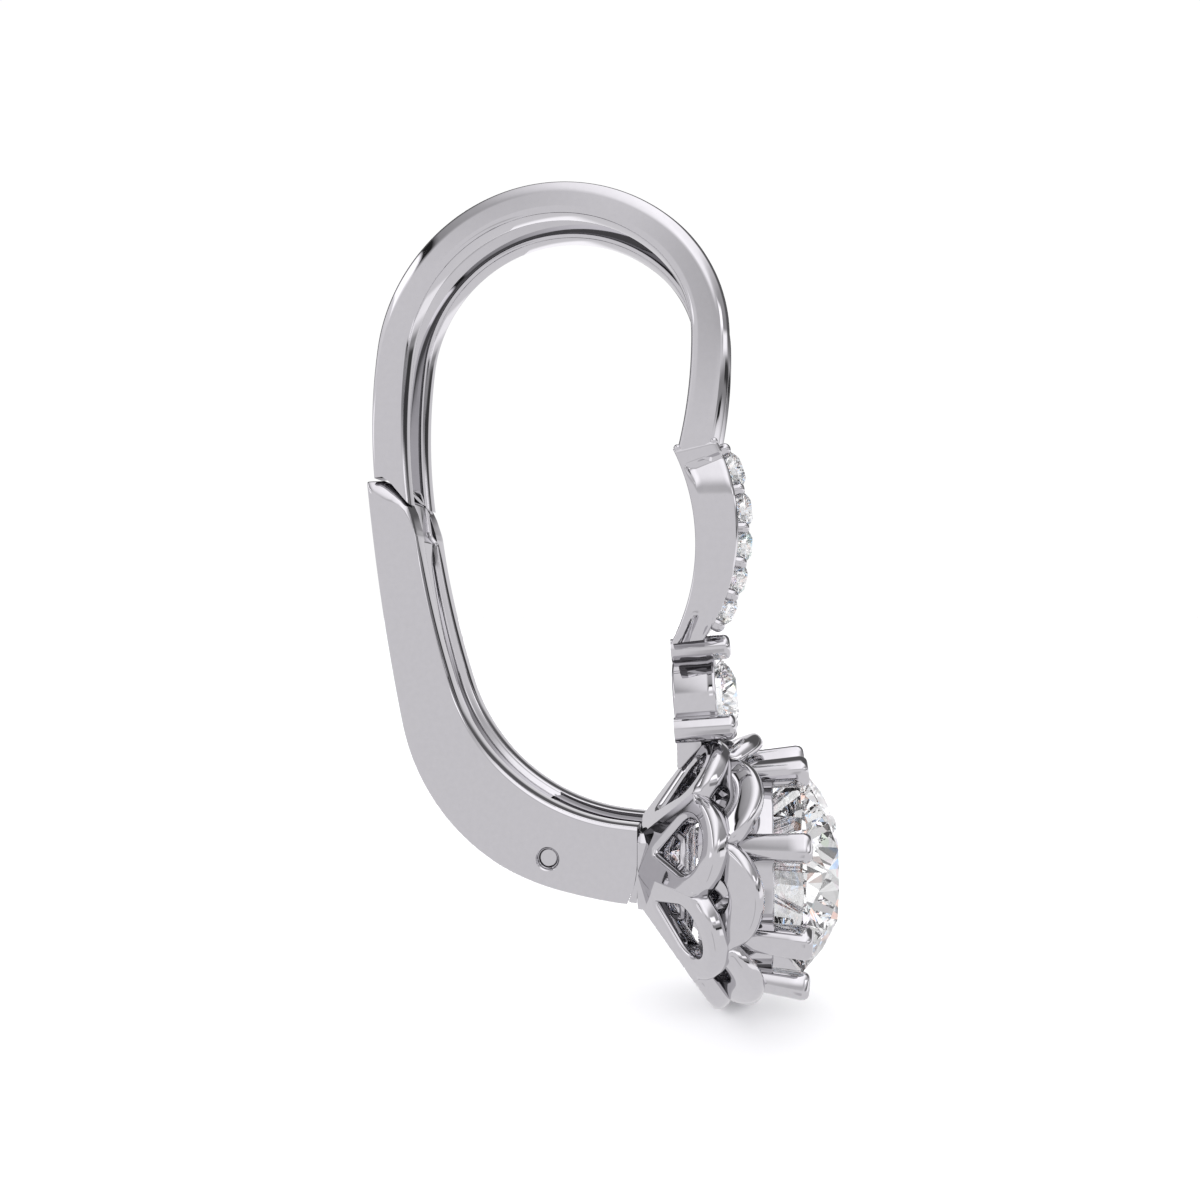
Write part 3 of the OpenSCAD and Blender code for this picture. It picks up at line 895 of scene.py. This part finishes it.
def petal(row, hole, centre, rim_edge):
    """A pierced petal for the flower's top, as rings that run from its hole over its rim.

    Its rim is rounded only where it stands clear of the next petal, and its face has a soft
    crown between rim and hole."""
    root, slopes, length, lobe, thick, hole_edge, rise = row
    path = PetalPath(root, slopes, length)
    rim, into_rim = around(path.rim(lobe), (centre, 0))
    bore, off_bore = around(hole, (centre, 0))

    def bend(start, inwards, radius, level, up):
        """A quarter round from a wall to a face."""
        return [(*(start + inwards * radius * (1 - c)), level + up * radius * (1 - s))
                for s, c in quarter(5)]

    rings = []
    for start, out, stop, back in zip(bore, -off_bore, rim, into_rim):
        clear = smooth(path.ridge(stop[0]) - abs(stop[1]), 0.0, 0.12) * smooth(stop[0], 0, 0.3)
        edge, under = 0.004 + (rim_edge - 0.004) * clear, 0.004 + 0.14 * clear
        ring = bend(start, out, hole_edge, 0, -1)
        near, far = np.array(ring[-1][:2]), stop + back * edge
        ring += [(*(near + (far - near) * share), rise * math.sin(math.pi * share) * clear)
                 for share in (0.08, 0.2, 0.35, 0.5, 0.65, 0.8, 0.92)]
        rings.append(ring + bend(stop, back, edge, 0, -1)[::-1]
                     + bend(stop, back, under, -thick, 1)
                     + bend(start, out, 0.05, -thick, 1)[::-1])
    return path.lift(rings)


class EARRING_OT_flower_head(bpy.types.Operator):
    """The flower head's two rows of pierced petals, its gallery, hub and prongs"""
    bl_idname = "earring.flower_head"
    bl_label = "Flower head"

    def execute(self, context):
        back = petal(BACK_PETAL, tear_drop(*TEAR_HOLE), TEAR_MIDDLE,
                     context.scene.earring_sizes.petal_round / MM)
        make_piece("back_petals", round_flower(back, 0.5))
        centre, radius = ROUND_HOLE
        front = petal(FRONT_PETAL, round_outline(radius, centre=(centre, 0)), centre,
                      FRONT_PETAL_EDGE)
        make_piece("front_petals", round_flower(front))
        hub = bar_x([(x, rounded([(*corner, HUB_EDGE) for corner in
                                  eight_sided(half, HUB_HALF_HEIGHT, HUB_CORNER)], 3))
                     for x, half in HUB])
        ring_at, ring_radius = INNER_RING
        make_piece("gallery", [placed(part, move=(0, 0, FLOWER_Z)) for part in (
            turned(rounded(GALLERY, 4)), hub, turned(round_outline(ring_radius, 16, ring_at)))])
        prong = placed(bar_x([(x, box_section(wide, wide, (edge,) * 4, 5))
                              for x, wide, edge in HEAD_PRONG]),
                       turn_y=-HEAD_PRONG_LEAN, move=(HEAD_PRONG_AT[0], 0, HEAD_PRONG_AT[1]))
        make_piece("head_prongs", round_flower(prong, 0.5))
        return {"FINISHED"}


class EARRING_OT_centre_stone(bpy.types.Operator):
    """The round brilliant in the flower head"""
    bl_idname = "earring.centre_stone"
    bl_label = "Centre stone"

    def execute(self, context):
        make_piece("centre_brilliant", [placed(
            brilliant(STONE_RADIUS, GIRDLE_HEIGHT), turn_x=11.25,
            move=(GIRDLE_X, 0, FLOWER_Z))], "centre_stone", stone=True)
        return {"FINISHED"}


def lever_shape(edge, back_edge):
    """The lever as rings from its seat to its hinged end."""
    outer, inner = Route(*LEVER_OUTER), Route(*LEVER_INNER)
    inner_stop = reached(inner, lambda place: place[0] > CHEEK_END_X)
    outer_stop = reached(outer, lambda place: place[0] > PIN_AT[0]
                         and math.dist(place, PIN_AT) > CHEEK_RADIUS)

    def section(groove, deep):
        """Half a ring as rows of [distance from the inner edge, or where it is negative from
        the outer edge, share of the way between both edges' roundings, Y]."""
        half = [(deep, None, groove * share) for share in (0.0, 0.35, 0.65)]
        half += [(deep * (1 - 0.4 * (1 - c)), None, groove * (0.84 + 0.11 * s))
                 for s, c in quarter(3)]
        half += [(deep * 0.45 * (1 - s), None, groove + 0.07 * (1 - c)) for s, c in quarter(4)]
        half.append((0.0, None, 0.88))
        half += [(edge * (1 - c), None, BODY_HALF - edge * (1 - s)) for s, c in quarter(5)]
        half += [(None, share, BODY_HALF) for share in (0.05, 0.2, 0.35, 0.5, 0.65, 0.8, 0.95)]
        half += [(-back_edge * (1 - s) - 1e-6, None, BODY_HALF - 0.4 * back_edge * (1 - c))
                 for s, c in quarter(7)]
        return half

    def ring_of(half, line, squeeze=lambda share: 0.0):
        """Puts half a section on a line that runs from the inner edge to the outer edge."""
        points = np.array(line, float)
        total = np.hypot(*np.diff(points, axis=0).T).sum()
        out = []
        for near, share, y in half:
            if share is None:
                share = near / total if near >= 0 else 1 + near / total
            else:
                share = (edge + (total - edge - back_edge) * share) / total
            x, z = along_line(points, share)
            out.append((x, y * (BODY_HALF - squeeze(share)) / BODY_HALF, z))
        return [(x, -y, z) for x, y, z in out] + out[:0:-1]

    # The saddle rounds over from the seat to the lever's flat sides
    rings, steps, cap = [], np.linspace(0, 1, 15), 8
    for k in range(cap):
        turn = math.pi / 2 * (1 - k / cap)
        line = [along_line(SADDLE_EDGE, s) + (along_line(SEAT, s) - along_line(SADDLE_EDGE, s))
                * math.sin(turn) for s in steps]

        def pull(share, turn=turn):
            band = math.dist(along_line(SEAT, share), along_line(SADDLE_EDGE, share))
            return min(band, 0.4) * (1 - math.cos(turn))

        rings.append(ring_of(section(GROOVE_HALF[0], GROOVE_DEPTH[0]), line, pull))
    first = [along_line(SADDLE_EDGE, s) for s in steps]
    end = outer.at(outer_stop)[0] - inner.at(inner_stop)[0]
    for share in np.r_[np.linspace(0, 0.06, 16), np.linspace(0.07, 1, 110)]:
        start = inner.at(0.08 + (inner_stop - 0.08) * share)
        stop = outer.at(0.1 + (outer_stop - 0.1) * share)
        keep, bent = 1 - smooth(share, 0.0, 0.09), smooth(share, 0.75, 1.0)
        line = []
        for i, s in enumerate(steps):
            straight = start + (stop - start) * s
            begin = first[0] + (first[-1] - first[0]) * s
            below = min(straight[1] - PIN_AT[1], 0)
            limit = min(math.sqrt(CHEEK_RADIUS ** 2 - below ** 2) + PIN_AT[0], CHEEK_END_X)
            to_limit = limit - inner.at(inner_stop)[0] - end * s
            line.append(straight + (first[i] - begin) * keep + np.array((to_limit * bent, 0)))
        groove = GROOVE_HALF[0] + GROOVE_HALF[1] * math.sqrt(1 - (1 - min(share / 0.02, 1)) ** 2)
        deep = GROOVE_DEPTH[0] + GROOVE_DEPTH[1] * smooth(share, 0.001, 0.016)
        rings.append(ring_of(section(groove, deep), line))
    return skin(rings, ladder_from=18)


class EARRING_OT_lever(bpy.types.Operator):
    """The hinged back lever with its groove, saddle and cheeks"""
    bl_idname = "earring.lever"
    bl_label = "Back lever"

    def execute(self, context):
        sizes = context.scene.earring_sizes
        x, z = PIN_AT
        front, down, up = HINGE_SLOT_REACH
        slot = [*arc_of((PIN_AT, HINGE_SLOT_RADIUS), 90, 270, 40), (x, z - down),
                (x + front, z - down), (x + front, z + up), (x, z + up)]
        # The groove runs out through the saddle, and its floor rises there
        inner = Route(*LEVER_INNER)
        half, deep, climb = GROOVE_MOUTH
        floor = [tuple(inner.at(along, climb * smooth(along, -0.1, 0.35) - deep))
                 for along in np.linspace(-1.5, 0.4, 24)]
        mouth = floor + [(px + 0.8, pz) for px, pz in (floor[-1], floor[0])]
        cutters = [slab(slot, -HINGE_SLOT_HALF, HINGE_SLOT_HALF, 0.001),
                   slab(mouth, -half, half, 0.1)]
        cutters += [skin([[(px, side * y, pz) for px, pz in round_outline(r, 48, PIN_AT)]
                          for y, r in PIN_BORE]) for side in (-1, 1)]
        make_piece("back_lever", [lever_shape(sizes.lever_round / MM,
                                              sizes.lever_back_round / MM)],
                   "lever", "back_lever", cutters=cutters)
        return {"FINISHED"}


class EARRING_OT_hinge(bpy.types.Operator):
    """The hinge's tongue and foot behind the flower, and its pin"""
    bl_idname = "earring.hinge"
    bl_label = "Hinge"

    def execute(self, context):
        outer, inner = Route(*LEVER_OUTER), Route(*LEVER_INNER)
        x, z = PIN_AT
        low = np.array([outer.at(outer.length * s, TONGUE_SHY[0])
                        for s in np.linspace(0.5, 1.0, 90)])
        high = np.array([inner.at(inner.length * s, -TONGUE_SHY[1])
                         for s in np.linspace(0.4, 1.0, 90)])
        over, under = [], []
        for across in np.r_[np.linspace(-TONGUE_RADIUS, -1, 14), np.linspace(-0.9, 2.32, 34)]:
            arc = math.sqrt(max(TONGUE_RADIUS ** 2 - min(across, 0) ** 2, 0))
            top, bottom = (np.interp(x + across, *line.T) for line in (high, low))
            over.append((x + across, min(top, z + arc) if across < 0 else top))
            under.append((x + across, max(bottom, z - arc) if across < 0 else bottom))
        make_piece("hinge_tongue", [slab(under[1:] + over[::-1], -TONGUE_HALF, TONGUE_HALF,
                                         0.03)])
        arc = [(x + math.sqrt((CHEEK_RADIUS + 0.006) ** 2 - height ** 2), z + height)
               for height in np.linspace(-0.2, -1.2, 20)]
        arc = [place for place in arc if place[1] > np.interp(place[0], *low.T) + 0.02]
        base = [(px, pz + 0.005) for px, pz in low if 1.55 < px < FOOT_END_X]
        foot = [(FOOT_END_X, arc[0][1]), *arc, *base]
        make_piece("hinge_foot", [slab(foot, 0.001 - BODY_HALF, BODY_HALF - 0.001, 0.004)])
        end = [(PIN_HALF - PIN_EDGE * (1 - s), PIN_RADIUS - PIN_EDGE * (1 - c))
               for s, c in quarter(7)]
        pin = [(PIN_HALF, 0.0005), *end[::-1], *[(-s, r) for s, r in end], (-PIN_HALF, 0.0005)]
        make_piece("pivot_pin", [along_y(turned(pin, 48), x, z)], "hinge_pin")
        return {"FINISHED"}


def studio_light():
    """A ceiling of soft panels over grey walls, drawn by direction."""
    world = bpy.data.worlds.new("Soft studio")
    node = functools.partial(add_node, empty_tree(world))

    def within(*edges):
        """1 within all of the soft edges, each as [value, where it is 0, where it is 1]."""
        shares = [node("ShaderNodeMapRange", [("Value", value)], interpolation_type="SMOOTHSTEP",
                       From_Min=min(none, full), From_Max=max(none, full),
                       To_Min=float(none > full), To_Max=float(none < full))
                  for value, none, full in edges]
        return functools.reduce(lambda one, other: node(
            "ShaderNodeMath", enumerate((one, other)), operation="MULTIPLY"), shares)

    def lay(level, bright, *edges):
        """Covers the light so far with a panel of its own brightness, within soft edges."""
        return node("ShaderNodeMix", [("Factor", within(*edges)), ("A", level), ("B", bright)])

    def span(angle, low, high, soft):
        """The two soft edges of a panel that reaches from a low to a high angle in degrees."""
        return [(angle, *np.radians(ends)) for ends in ((low - soft, low + soft),
                                                        (high + soft, high - soft))]

    def lay_panels(level, rows):
        for turns, lifts, soft, bright in rows:
            level = lay(level, bright, *span(turn, *turns, soft), *span(lift, *lifts, soft))
        return level

    place = node("ShaderNodeTexCoord").outputs["Generated"]
    x, y, z = node("ShaderNodeSeparateXYZ", [("Vector", place)]).outputs
    front = node("ShaderNodeMath", enumerate((y, -1.0)), operation="MULTIPLY")
    turn = node("ShaderNodeMath", enumerate((x, front)), operation="ARCTAN2")
    lift = node("ShaderNodeMath", enumerate((z,)), operation="ARCSINE")
    height = node("ShaderNodeMath", enumerate((z, 0.02)), operation="MAXIMUM")
    across, deep = (node("ShaderNodeMath", enumerate((side, height)), operation="DIVIDE")
                    for side in (x, y))
    first, last = CEILING[0][0], CEILING[-1][0]
    share = node("ShaderNodeMapRange", [("Value", across)], From_Min=first, From_Max=last)
    shades = node("ShaderNodeValToRGB", [("Fac", share)])
    line = shades.color_ramp.elements
    for at, _ in CEILING[1:-1]:
        line.new((at - first) / (last - first))
    for element, (_, bright) in zip(line, CEILING):
        element.color = (*[bright / CEILING_PEAK] * 3, 1)
    ceiling = node("ShaderNodeMath", enumerate((shades, CEILING_PEAK)), operation="MULTIPLY")
    level = lay_panels(WALL_LIGHT, WALL_PANELS)
    level = lay(level, ceiling, (deep, *CEILING_EDGES[0]), (z, *CEILING_EDGES[1]))
    level = lay(lay_panels(level, PANELS), BEHIND_LIGHT, (y, *BEHIND_EDGE),
                *span(lift, *BEHIND_LIFTS))
    # Metal seen in metal seen in metal goes dark, as deep inside the flower head
    path = node("ShaderNodeLightPath").outputs
    dim = lay(DEEP_LIGHT, 1.0, (path["Glossy Depth"], *DEEP_EDGE))
    level = node("ShaderNodeMath", enumerate((level, dim)), operation="MULTIPLY")
    mirrored = node("ShaderNodeBackground", [("Strength", level)], Color=(0.99, 0.975, 1, 1))
    # What a diamond shows is many small lamps, bright and dim, some of them tinged as it parts
    # their light
    lamps = node("ShaderNodeTexVoronoi", [("Vector", place)], Scale=LAMP_COUNT)
    kind, tinge, bright = node("ShaderNodeSeparateColor",
                               [("Color", lamps.outputs["Color"])]).outputs
    blue = node("ShaderNodeMath", enumerate((kind, 0.5)), operation="GREATER_THAN")
    fire = node("ShaderNodeMix", [("Factor", blue), *zip("AB", LAMP_HUES)])
    hue = node("ShaderNodeCombineColor", [("Red", fire)], mode="HSV", Green=0.5, Blue=1.0)
    tinged = node("ShaderNodeMix", [("Factor", within((tinge, *LAMP_TINGE))),
                                    (6, (1, 1, 1, 1)), (7, hue)], data_type="RGBA")
    power = node("ShaderNodeMapRange", [("Value", bright)], To_Min=LAMP_LIGHT[0],
                 To_Max=LAMP_LIGHT[1])
    inside = node("ShaderNodeBackground", [("Color", tinged.outputs[2]), ("Strength", power)])
    # Low lamps all round light the floor, so only what nearly touches it throws a shadow
    low_lamps = lay(*FLOOR_LIGHT, *span(lift, *FLOOR_LAMP_LIFTS))
    diffuse = node("ShaderNodeBackground", [("Strength", low_lamps)], Color=(1, 1, 1, 1))
    backdrop = node("ShaderNodeBackground", Color=(1, 1, 1, 1), Strength=BACKDROP_LIGHT)
    seen = mirrored
    for ray, light in (("Is Transmission Ray", inside), ("Is Diffuse Ray", diffuse),
                       ("Is Camera Ray", backdrop)):
        seen = node("ShaderNodeMixShader", [("Fac", path[ray]), (1, seen), (2, light)])
    node("ShaderNodeOutputWorld", [("Surface", seen)])
    return world


class EARRING_OT_studio(bpy.types.Operator):
    """The white card floor, the soft light and the camera"""
    bl_idname = "earring.studio"
    bl_label = "Studio"

    def execute(self, context):
        scene = context.scene
        mesh = bpy.data.meshes.new("studio_floor")
        half = FLOOR_HALF * MM
        mesh.from_pydata([(x, y, FLOOR_Z * MM) for x, y in
                          ((-half, -half), (half, -half), (half, half), (-half, half))],
                         [], [(0, 1, 2, 3)])
        mesh.materials.append(material("Coated white card", coated_card))
        floor = put_in_scene("studio_floor", mesh)
        floor.visible_glossy = floor.visible_transmission = False
        # The stones show the lamps, and not the dark inside of the settings round them
        for name in ("gallery", "back_petals", "front_petals", "hinge_tongue", "hinge_foot",
                     "back_lever", "neck", "stone_bar", "small_setting"):
            bpy.data.objects[name].visible_transmission = False
        scene.world = studio_light()

        camera = bpy.data.cameras.new("Photograph")
        camera.sensor_width = 36
        camera.lens = CAMERA_FOCAL_PX / IMAGE_WIDTH_PX * camera.sensor_width
        camera.clip_start, camera.clip_end = 0.001, 20
        eye = put_in_scene("Photograph", camera)
        eye.location = [c * MM for c in CAMERA_AT]
        eye.rotation_euler = [math.radians(a) for a in (90 + CAMERA_LOOK_UP, 0, CAMERA_YAW)]
        scene.camera = eye
        scene.view_settings.view_transform = "Standard"
        # A brilliant sends light round many of its facets before it lets it out
        scene.cycles.glossy_bounces = scene.cycles.transmission_bounces = 14
        scene.cycles.max_bounces = 16
        return {"FINISHED"}


PIECES = (EARRING_OT_ear_wire, EARRING_OT_stone_bar, EARRING_OT_small_setting,
          EARRING_OT_flower_head, EARRING_OT_centre_stone, EARRING_OT_lever, EARRING_OT_hinge,
          EARRING_OT_studio)


class EARRING_PT_panel(bpy.types.Panel):
    """Lists the earring's pieces, sizes and colours"""
    bl_label = "Lever back earring"
    bl_idname = "EARRING_PT_panel"
    bl_space_type = "VIEW_3D"
    bl_region_type = "UI"
    bl_category = "Earring"

    def draw(self, context):
        for group in (context.scene.earring_sizes, context.scene.earring_colours):
            column = self.layout.column(align=True)
            for name in group.__annotations__:
                column.prop(group, name)
        column = self.layout.column(align=True)
        for piece in PIECES:
            column.operator(piece.bl_idname)


CLASSES = (EarringSizes, EarringColours, *PIECES, EARRING_PT_panel)


def register():
    for made in CLASSES:
        bpy.utils.register_class(made)
    bpy.types.Scene.earring_sizes = bpy.props.PointerProperty(type=EarringSizes)
    bpy.types.Scene.earring_colours = bpy.props.PointerProperty(type=EarringColours)


def unregister():
    del bpy.types.Scene.earring_colours
    del bpy.types.Scene.earring_sizes
    for made in reversed(CLASSES):
        bpy.utils.unregister_class(made)


def main():
    register()
    for piece in PIECES:
        group, name = piece.bl_idname.split(".")
        getattr(getattr(bpy.ops, group), name)()


if __name__ == "__main__":
    main()
